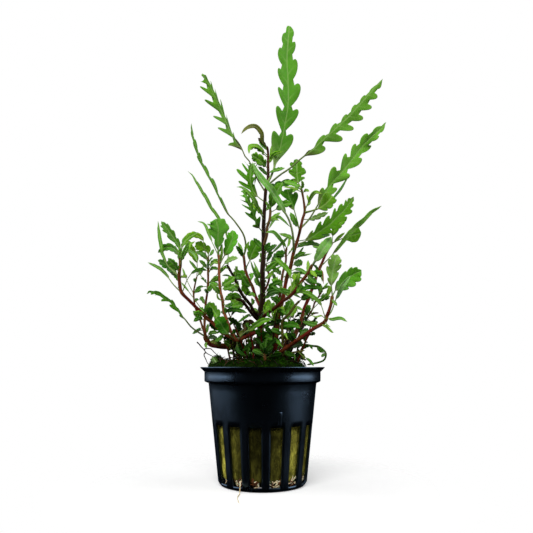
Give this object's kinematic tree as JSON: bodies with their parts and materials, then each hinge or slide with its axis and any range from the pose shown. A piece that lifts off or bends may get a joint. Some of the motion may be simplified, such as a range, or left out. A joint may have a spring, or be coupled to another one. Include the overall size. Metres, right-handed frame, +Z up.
{
  "type": "potted aquatic plant",
  "caption": "Aquatic stem plant with narrow, deeply lobed leaves on thin branching red stems, rooted in rock wool topped with moss in a small slotted net pot.",
  "frame": {"origin": "centre of the underside of the pot, on the surface that it stands on", "axes": "+Z up along the pot's axis; the side of the plant that is seen first faces -Y"},
  "size_m": [0.1101, 0.0755, 0.2072],
  "materials": {
    "pot_plastic": "satin",
    "rock_wool": "matte",
    "moss": "matte",
    "root": "matte",
    "stem_plum": "satin",
    "stem_red": "satin",
    "stem_brown": "satin",
    "stem_amber": "satin",
    "stem_tan": "satin",
    "stem_olive": "satin",
    "stem_green": "satin",
    "leaf_bright": "satin",
    "leaf_mid": "satin",
    "leaf_dark": "satin",
    "leaf_pale": "satin"
  },
  "bodies": {
    "root": {"pot": "pot_plastic", "rock_wool": "rock_wool", "moss": "moss", "trailing_root": "root", "main_stem": "stem_plum", "side_shoot": "stem_tan", "right_stem": "stem_red", "thin_right_stem": "stem_brown", "far_right_stem": "stem_red", "low_right_branch": "stem_red", "low_left_branch": "stem_red", "amber_stem": "stem_amber", "left_runner": "stem_red", "left_stem": "stem_brown", "left_inner_stem": "stem_brown", "inner_left_stem": "stem_red", "dark_left_stem": "stem_plum", "broken_stub": "stem_plum", "crossing_stem": "stem_red", "centre_shoot": "stem_red", "olive_branch": "stem_olive", "right_tendril": "stem_green", "right_twig": "stem_olive", "slender_right_stem": "stem_brown", "left_undergrowth": "stem_olive", "middle_undergrowth": "stem_olive", "right_undergrowth": "stem_olive", "top_leaf": "leaf_mid", "upper_right_leaf": "leaf_mid", "right_feather_leaf": "leaf_mid", "front_long_leaf": "leaf_pale", "upper_left_leaf": "leaf_mid", "thin_left_leaf": "leaf_mid", "lower_thin_left_leaf": "leaf_mid", "narrow_right_leaf": "leaf_mid", "toothed_right_leaf": "leaf_mid", "lower_left_toothed_leaf": "leaf_dark", "round_right_leaf": "leaf_bright", "far_right_round_leaf": "leaf_mid", "right_front_leaf": "leaf_pale", "right_lobed_leaf": "leaf_pale", "right_broad_leaf": "leaf_mid", "folded_right_leaf": "leaf_pale", "left_round_leaf": "leaf_mid", "left_oval_leaf": "leaf_mid", "centre_round_leaf": "leaf_mid", "upright_left_leaf": "leaf_mid", "left_tip_leaf": "leaf_mid", "level_left_leaf": "leaf_mid", "left_narrow_leaf": "leaf_mid", "dark_left_leaf": "leaf_dark", "bright_left_leaf": "leaf_bright", "low_front_leaf": "leaf_dark", "low_left_leaf": "leaf_mid", "pale_strap_leaf": "leaf_mid", "lobed_centre_leaf": "leaf_mid", "feathery_centre_leaf": "leaf_mid", "dark_lobed_leaf": "leaf_mid", "dark_three_lobed_leaf": "leaf_dark", "inner_right_leaf": "leaf_mid"}
  },
  "joints": []
}
